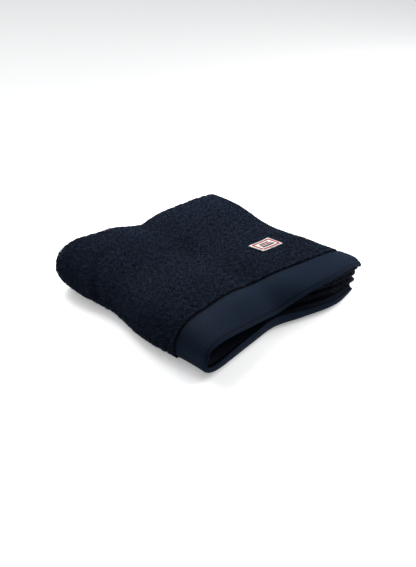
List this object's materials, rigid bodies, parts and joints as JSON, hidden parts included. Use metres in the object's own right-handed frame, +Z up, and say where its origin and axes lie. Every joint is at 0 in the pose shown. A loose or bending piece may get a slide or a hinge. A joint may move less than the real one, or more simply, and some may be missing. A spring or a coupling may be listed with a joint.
{
  "type": "bath towel",
  "caption": "Folded terry bath towel with a flat woven hem band, soft cross valleys in its top and a small sewn label patch; it rests flat on a shelf or table.",
  "frame": {"origin": "middle of the ground that the folded towel covers, at the level it rests on", "axes": "+X along the hem from the rolled fold to the open side, +Y from the hem end to the folded end, +Z up"},
  "size_m": [0.3546, 0.3462, 0.0746],
  "materials": {
    "terry": "dark navy cotton terry, with a flat twill hem band a little lighter",
    "woven_label": "cream woven label with a red stitched border"
  },
  "bodies": {
    "root": {"towel": "terry", "label_patch": "woven_label"}
  },
  "joints": []
}
